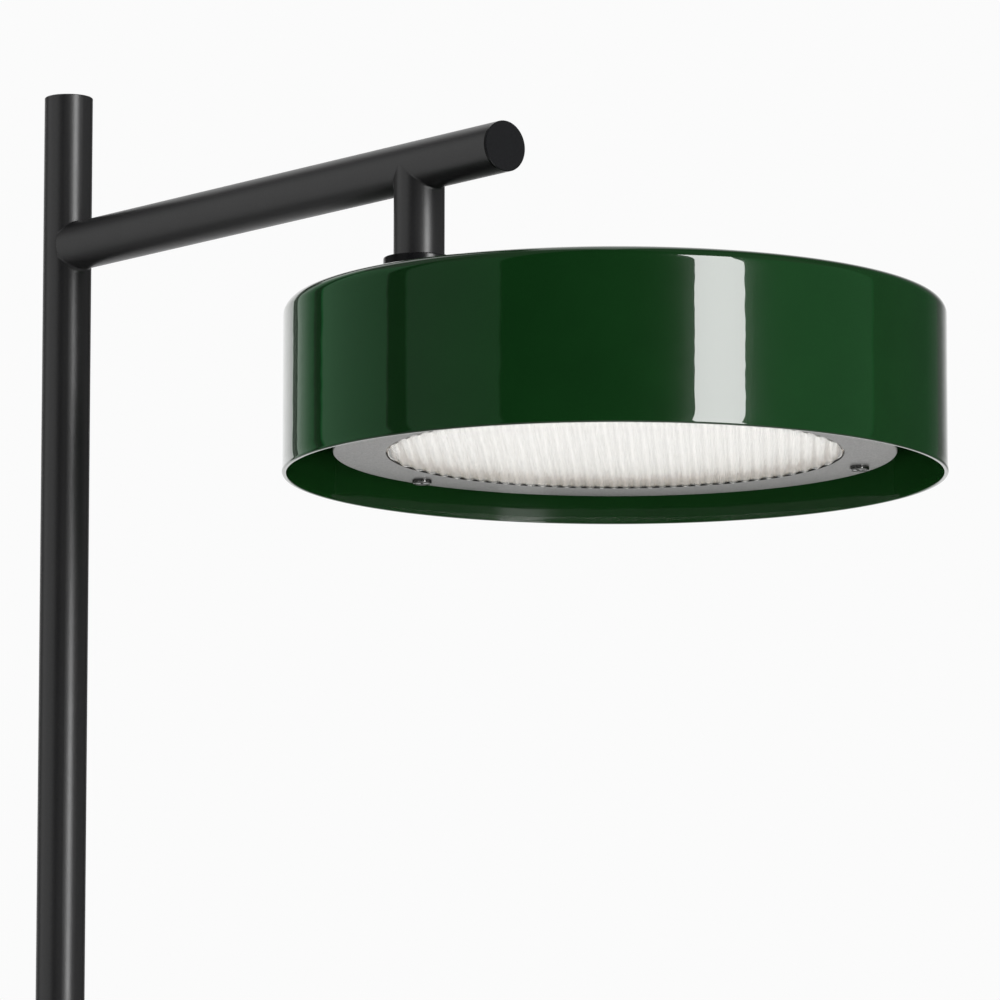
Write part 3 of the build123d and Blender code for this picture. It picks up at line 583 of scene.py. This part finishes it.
# ---------------------------------------------------------------- ring screws
SCREW_HEAD_R = 5.0 * MM
SCREW_HEAD_H = 2.2 * MM
SCREW_EDGE_R = 1.1 * MM
SCREW_EDGE_STEPS = 8
SCREW_DOME = 0.35 * MM
SCREW_FACE_ROWS = 26
SCREW_SHANK_R = 2.45 * MM
SCREW_SHANK_L = 8.0 * MM
SCREW_TIP_SHARE = 0.5
RECESS_REACH = 2.9 * MM
RECESS_HALF_W = 0.65 * MM
RECESS_DEPTH = 1.3 * MM
RECESS_TAPER = 0.35 * MM
SCREW_CIRCLE_R = 132.0 * MM
SCREW_SEGMENTS = 96
SCREW_SHARP = 40.0
# Where each screw sits round the ring, and how far its cross is turned, in degrees
SCREW_TURNS = ((68.4, 20.0), (188.4, 52.0), (308.4, 5.0))


def cross_depth(x, y):
    """How deep the cross recess is at a point of the screw's face."""
    long_x = max(abs(x) - RECESS_REACH, abs(y) - RECESS_HALF_W)
    long_y = max(abs(y) - RECESS_REACH, abs(x) - RECESS_HALF_W)
    inside = -min(long_x, long_y)
    share = max(0.0, min(1.0, inside / RECESS_TAPER))
    return RECESS_DEPTH * share * share * (3 - 2 * share)


def screw_rows():
    """The screw's section, face to tip, as radius and height above the bearing face."""
    flat_r = SCREW_HEAD_R - SCREW_EDGE_R
    rows = []
    for i in range(1, SCREW_FACE_ROWS + 1):
        share = i / SCREW_FACE_ROWS
        rows.append((flat_r * share, -SCREW_HEAD_H - SCREW_DOME * (1 - share ** 2) + SCREW_DOME))
    rows += arc(flat_r, -SCREW_HEAD_H + SCREW_EDGE_R, SCREW_EDGE_R, -90.0, 0.0, SCREW_EDGE_STEPS)[1:]
    rows += [(SCREW_HEAD_R, 0.0), (SCREW_SHANK_R, 0.0), (SCREW_SHANK_R, SCREW_SHANK_L)]
    rows.append((SCREW_SHANK_R * SCREW_TIP_SHARE, SCREW_SHANK_L))
    return rows


def screw_mesh(centre, turn, verts, faces):
    """Pan-head screw, head down: domed face with a cross recess, rounded edge, bearing face and shank."""
    rows = screw_rows()
    start = len(verts)
    for radius, height in rows:
        for k in range(SCREW_SEGMENTS):
            angle = math.tau * k / SCREW_SEGMENTS
            lift = 0.0
            if height < -SCREW_EDGE_R:
                lift = cross_depth(radius * math.cos(angle), radius * math.sin(angle))
            x = centre.x + radius * math.cos(angle + turn)
            y = centre.y + radius * math.sin(angle + turn)
            verts.append((x, y, centre.z + height + lift))
    for face in ring_faces(len(rows), SCREW_SEGMENTS, closed=False):
        faces.append(tuple(start + v for v in reversed(face)))
    middle = len(verts)
    verts.append((centre.x, centre.y, centre.z - SCREW_HEAD_H + RECESS_DEPTH))
    verts.append((centre.x, centre.y, centre.z + SCREW_SHANK_L))
    last = start + (len(rows) - 1) * SCREW_SEGMENTS
    for k in range(SCREW_SEGMENTS):
        n = (k + 1) % SCREW_SEGMENTS
        faces.append((middle, start + n, start + k))
        faces.append((middle + 1, last + k, last + n))


def ring_screws():
    """The ring's three screws."""
    verts = []
    faces = []
    for place, turn in SCREW_TURNS:
        angle = math.radians(place)
        x = HEAD_X + SCREW_CIRCLE_R * math.cos(angle)
        y = HEAD_Y + SCREW_CIRCLE_R * math.sin(angle)
        screw_mesh(Vector((x, y, RING_UNDERSIDE)), math.radians(turn), verts, faces)
    steel = screw_steel()
    name = "ring_screws_fine"
    return make_piece(name, verts, faces, "head", steel, ["ring_screws"], SCREW_SHARP)


# ---------------------------------------------------------------- weld beads
WELD_SEGMENTS = 120
WELD_LEAST_LEG = 0.15 * MM
WELD_SINK = 0.9 * MM
WELD_CURVE = (0.0, 0.25, 0.5, 0.75, 1.0)
WELD_SHARP = 60.0
ARM_WELD_LEG = 0.7 * MM
ARM_WELD_DRIP = 1.9 * MM
ARM_WELD_DRIP_POWER = 6
ARM_WELD_HOLLOW = 0.985
STEM_WELD_LEG = 1.0 * MM
EAR_X = ARM_LOW.x
EAR_STEP = 0.9 * MM


def bead(name, sections):
    """Weld fillet: a closed chain of small curved sections, each from one tube's skin to the other's."""
    verts = []
    for start, corner, end, root in sections:
        for t in WELD_CURVE:
            verts.append(tuple(start * (1 - t) ** 2 + corner * (2 * t * (1 - t)) + end * t ** 2))
        verts.append(tuple(root))
    quads = ring_faces(len(sections), len(WELD_CURVE) + 1, closed=True)
    faces = [(a, d, c, b) for a, b, c, d in quads]
    return make_piece(name, verts, faces, "stand", MATERIALS["black_paint"], (), WELD_SHARP)


def arm_weld():
    """Fillet round the arm where it meets the pole, a little fuller underneath."""
    sections = []
    furthest_y = math.sqrt(TUBE_R ** 2 - (EAR_X - EAR_STEP) ** 2)
    inner = TUBE_R - WELD_SINK
    for i in range(WELD_SEGMENTS):
        angle = math.tau * i / WELD_SEGMENTS
        side = math.sin(angle)
        rise = math.cos(angle)
        drip = ARM_WELD_DRIP * max(0.0, -rise) ** ARM_WELD_DRIP_POWER
        leg = ARM_WELD_LEG * abs(rise) + WELD_LEAST_LEG + drip
        wide = TUBE_R + leg
        seam_x = max(TUBE_R * abs(rise), EAR_X)
        pole_y = max(-furthest_y, min(furthest_y, wide * side))
        on_arm = Vector((seam_x + leg, TUBE_R * side, ARM_Z + TUBE_R * rise))
        on_pole = Vector((math.sqrt(TUBE_R ** 2 - pole_y ** 2), pole_y, ARM_Z + wide * rise))
        corner = Vector((seam_x, TUBE_R * side * ARM_WELD_HOLLOW, ARM_Z + TUBE_R * rise))
        root = Vector((seam_x - WELD_SINK, inner * side, ARM_Z + inner * rise))
        sections.append((on_arm, corner, on_pole, root))
    return bead("arm_weld", sections)


def stem_weld():
    """Fillet round the stem where it meets the arm."""
    sections = []
    inner = TUBE_R - WELD_SINK
    for i in range(WELD_SEGMENTS):
        angle = math.tau * i / WELD_SEGMENTS
        along = math.cos(angle)
        side = math.sin(angle)
        leg = STEM_WELD_LEG * abs(along) + WELD_LEAST_LEG
        wide = TUBE_R + leg
        seam_z = ARM_Z - TUBE_R * abs(along)
        arm_y = max(-TUBE_R, min(TUBE_R, wide * side))
        on_stem = Vector((SWIVEL.x + TUBE_R * along, TUBE_R * side, seam_z - leg))
        on_arm = Vector((SWIVEL.x + wide * along, arm_y, ARM_Z - math.sqrt(TUBE_R ** 2 - arm_y ** 2)))
        corner = Vector((SWIVEL.x + TUBE_R * along, TUBE_R * side, seam_z))
        root = Vector((SWIVEL.x + inner * along, inner * side, seam_z + WELD_SINK * abs(along)))
        sections.append((on_arm, corner, on_stem, root))
    return bead("stem_weld", sections)


shade_shell()
lens_glass_piece()
ring_screws()
arm_weld()
stem_weld()


# ---------------------------------------------------------------- studio
CAMERA_AT = Vector((3.19694, -2.36528, 0.58161))
CAMERA_FORWARD = Vector((-0.7597, 0.6325, 0.1509)).normalized()
CAMERA_ROLL = 0.00113
CAMERA_LENS = 276.15
CAMERA_SENSOR = 36.0


def make_camera():
    """Long lens, low in front of the lamp and looking slightly up."""
    data = bpy.data.cameras.new("camera")
    data.lens = CAMERA_LENS
    data.sensor_width = CAMERA_SENSOR
    camera = bpy.data.objects.new("camera", data)
    bpy.context.scene.collection.objects.link(camera)
    right = CAMERA_FORWARD.cross(Vector((0, 0, 1))).normalized()
    up = right.cross(CAMERA_FORWARD)
    tilted_right = right * math.cos(CAMERA_ROLL) + up * math.sin(CAMERA_ROLL)
    tilted_up = tilted_right.cross(CAMERA_FORWARD)
    turn = Matrix((tilted_right, tilted_up, -CAMERA_FORWARD)).transposed()
    camera.matrix_world = Matrix.Translation(CAMERA_AT) @ turn.to_4x4()
    bpy.context.scene.camera = camera


# Bearings are in degrees about the lamp: 0 is level from the lamp towards the main camera, and they
# grow to the camera's right.
FRONT_HEADING = Vector((0.7632, -0.6462))
RIGHT_HEADING = Vector((0.6462, 0.7632))

# What stands around the lamp, as grey levels by bearing: a white room behind it, dim boards to the
# left and right, and dark gaps between them
ROOM_LEVELS = [
    (-180.0, 1.00),
    (-155.0, 1.00),
    (-148.7, 0.96),
    (-143.0, 0.56),
    (-138.8, 0.34),
    (-131.6, 0.13),
    (-125.0, 0.01),
    (-122.2, 0.01),
    (-121.6, 0.23),
    (-85.0, 0.20),
    (-84.6, 0.01),
    (-76.5, 0.01),
    (-76.0, 0.17),
    (-40.0, 0.15),
    (-39.5, 0.00),
    (15.0, 0.02),
    (27.0, 0.05),
    (47.0, 0.13),
    (99.0, 0.14),
    (99.6, 0.07),
    (117.0, 0.06),
    (136.0, 0.04),
    (147.0, 0.08),
    (155.0, 0.16),
    (163.0, 0.50),
    (172.0, 1.00),
    (180.0, 1.00),
]
FULL_TURN = 360.0
RAMP_MIDDLE = 0.5
BACKDROP = 0.965


def make_world():
    """Plain white seen directly. Around the lamp, soft grey boards and gaps between them."""
    world = bpy.data.worlds.new("studio")
    bpy.context.scene.world = world
    world.use_nodes = True
    t = Tree(world.node_tree)
    direction = t.coords.outputs["Generated"]
    bearing = t.math("ARCTAN2", t.along(direction, RIGHT_HEADING), t.along(direction, FRONT_HEADING))
    place = t.math("ADD", t.math("DIVIDE", bearing, math.tau), RAMP_MIDDLE)
    stops = [(degrees / FULL_TURN + RAMP_MIDDLE, (level, level, level)) for degrees, level in ROOM_LEVELS]
    room = t.add("Background")
    t.link(t.ramp(place, stops), room.inputs["Color"])
    backdrop = t.add("Background")
    backdrop.inputs["Color"].default_value = (BACKDROP, BACKDROP, BACKDROP, 1.0)
    mix = t.add("MixShader")
    t.link(t.add("LightPath").outputs["Is Camera Ray"], mix.inputs["Fac"])
    t.link(room.outputs["Background"], mix.inputs[1])
    t.link(backdrop.outputs["Background"], mix.inputs[2])
    t.link(mix.outputs["Shader"], t.add("OutputWorld").inputs["Surface"])


SOFTBOX_BEARING = 34.3
SOFTBOX_DISTANCE = 2.0
SOFTBOX_W = 0.61
SOFTBOX_H = 1.8
SOFTBOX_RISE = 0.25
SOFTBOX_RADIANCE = 13.9
SOFTBOX_LEAN_L = 0.45
SOFTBOX_LEAN = math.radians(65.0)

# Dim boards that give the black tubes their soft flanks
TUBE_BOARDS = {
    "left_board": {"bearing": -80.0, "distance": 1.8, "wide": 2.2, "high": 3.4, "radiance": 0.75},
    "front_board": {"bearing": 0.0, "distance": 2.4, "wide": 2.0, "high": 2.6, "radiance": 0.26},
    "right_board": {"bearing": 103.0, "distance": 2.4, "wide": 3.0, "high": 3.0, "radiance": 0.19},
}
GREEN_WASH = {"bearing": -95.0, "distance": 1.9, "wide": 2.0, "high": 2.6, "radiance": 1.7}

# Green-tinted boards that the shade reflects over the grey ones
GREEN_TINT = (0.0, 1.0, 0.22)
GREEN_DISTANCE = 8.0
GREEN_HIGH = 14.0
GREEN_BOARDS = {
    "green_board_edge": {"from": -149.0, "to": -127.0, "radiance": 0.15},
    "green_board_left": {"from": -121.8, "to": -84.8, "radiance": 0.26},
    "green_board_mid": {"from": -76.2, "to": -39.8, "radiance": 0.14},
    "green_board_right": {"from": 44.0, "to": 99.3, "radiance": 0.20},
    "green_board_far": {"from": 99.6, "to": 148.0, "radiance": 0.05},
}

LENS_WASH_DROP = 0.06
LENS_WASH_R = 0.03
LENS_WASH_WATTS = 0.8
LENS_WASH_TINT = (1.0, 0.85, 0.75)


def area_light(name, place, aim, wide, high, radiance):
    """Rectangular light of an even radiance, not seen by the camera."""
    data = bpy.data.lights.new(name, "AREA")
    data.shape = "RECTANGLE"
    data.size = wide
    data.size_y = high
    data.energy = radiance * math.pi * wide * high
    light = bpy.data.objects.new(name, data)
    bpy.context.scene.collection.objects.link(light)
    light.location = place
    light.rotation_mode = "QUATERNION"
    light.rotation_quaternion = (aim - place).to_track_quat("-Z", "Y")
    light.visible_camera = False
    return light


def heading(bearing):
    """Level direction from the lamp at a bearing."""
    angle = math.radians(bearing)
    flat = FRONT_HEADING * math.cos(angle) + RIGHT_HEADING * math.sin(angle)
    return Vector((flat.x, flat.y, 0.0))


def board(name, bearing, distance, wide, high, radiance):
    """Upright board of soft light that faces the lamp."""
    middle = Vector((HEAD_X, HEAD_Y, ARM_Z))
    return area_light(name, middle + heading(bearing) * distance, middle, wide, high, radiance)


def only_for(light, slot):
    """This light falls on the pieces of one material alone, as when a studio lights a part apart."""
    group = bpy.data.collections.new(light.name + "_receivers")
    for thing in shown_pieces():
        if thing.material_slots and thing.material_slots[0].material == MATERIALS[slot]:
            group.objects.link(thing)
    light.light_linking.receiver_collection = group


def softbox():
    """Tall softbox to the front right, whose top leans over the lamp."""
    away = heading(SOFTBOX_BEARING)
    middle = Vector((HEAD_X, HEAD_Y, ARM_Z + SOFTBOX_RISE))
    place = middle + away * SOFTBOX_DISTANCE
    area_light("softbox", place, middle, SOFTBOX_W, SOFTBOX_H, SOFTBOX_RADIANCE)
    lean = Vector((0, 0, math.cos(SOFTBOX_LEAN))) - away * math.sin(SOFTBOX_LEAN)
    face = -Vector((0, 0, math.sin(SOFTBOX_LEAN))) - away * math.cos(SOFTBOX_LEAN)
    centre = place + Vector((0, 0, SOFTBOX_H / 2)) + lean * (SOFTBOX_LEAN_L / 2)
    area_light("softbox_top", centre, centre + face, SOFTBOX_W, SOFTBOX_LEAN_L, SOFTBOX_RADIANCE)


def green_boards():
    """The tinted boards, each wide enough to span its bearings."""
    for name, facts in GREEN_BOARDS.items():
        half = math.radians(facts["to"] - facts["from"]) / 2
        wide = 2 * GREEN_DISTANCE * math.tan(half)
        bearing = (facts["from"] + facts["to"]) / 2
        light = board(name, bearing, GREEN_DISTANCE, wide, GREEN_HIGH, facts["radiance"])
        light.data.color = GREEN_TINT
        only_for(light, "green_paint")


def green_wash():
    """Soft light on the shade's paint that it does not reflect."""
    light = board("green_wash", **GREEN_WASH)
    light.visible_glossy = False
    only_for(light, "green_paint")


def lens_wash():
    """The lamp's own light on the inside of the shade."""
    data = bpy.data.lights.new("lens_wash", "POINT")
    data.energy = LENS_WASH_WATTS
    data.color = LENS_WASH_TINT
    data.shadow_soft_size = LENS_WASH_R
    light = bpy.data.objects.new("lens_wash", data)
    bpy.context.scene.collection.objects.link(light)
    light.location = (HEAD_X, HEAD_Y, RIM_Z - LENS_WASH_DROP)
    light.visible_camera = False
    light.visible_glossy = False
    only_for(light, "green_paint")


def make_lights():
    """All the lights."""
    softbox()
    for name, facts in TUBE_BOARDS.items():
        only_for(board(name, **facts), "black_paint")
    green_wash()
    lens_wash()
    green_boards()


FLOOR_R = 3.5
FLOOR_RINGS = 12
FLOOR_SEGMENTS = 96
FLOOR_FADE_FROM = 0.35
FLOOR_FADE_TO = 0.98


def floor_paint():
    """Pale matt floor that fades to clear towards its edge."""
    m = Nodes("floor_pale")
    m.colour_from(m.noise(6.0), (0.80, 0.80, 0.80), (0.84, 0.84, 0.835))
    m.set(Roughness=0.8)
    reach = m.math("DIVIDE", m.length(m.coords.outputs["Object"]), FLOOR_R)
    mix = m.add("MixShader")
    m.link(m.ramp(reach, [(FLOOR_FADE_FROM, (0, 0, 0)), (FLOOR_FADE_TO, (1, 1, 1))]), mix.inputs["Fac"])
    m.link(m.shader.outputs["BSDF"], mix.inputs[1])
    m.link(m.add("BsdfTransparent").outputs["BSDF"], mix.inputs[2])
    m.link(mix.outputs["Shader"], m.out.inputs["Surface"])
    return m.material


def make_floor():
    """Round pale floor whose edge fades into the backdrop."""
    verts = [(0.0, 0.0, 0.0)]
    for i in range(1, FLOOR_RINGS + 1):
        radius = FLOOR_R * i / FLOOR_RINGS
        for k in range(FLOOR_SEGMENTS):
            angle = math.tau * k / FLOOR_SEGMENTS
            verts.append((radius * math.cos(angle), radius * math.sin(angle), 0.0))
    faces = [(0, 1 + k, 1 + (k + 1) % FLOOR_SEGMENTS) for k in range(FLOOR_SEGMENTS)]
    for a, b, c, d in ring_faces(FLOOR_RINGS, FLOOR_SEGMENTS, closed=False):
        faces.append((1 + a, 1 + d, 1 + c, 1 + b))
    mesh = bpy.data.meshes.new("floor")
    mesh.from_pydata(verts, [], faces)
    floor = bpy.data.objects.new("floor", mesh)
    bpy.context.scene.collection.objects.link(floor)
    mesh.materials.append(floor_paint())
    floor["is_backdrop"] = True


make_camera()
make_world()
make_lights()
make_floor()
bpy.context.scene.view_settings.view_transform = "Standard"
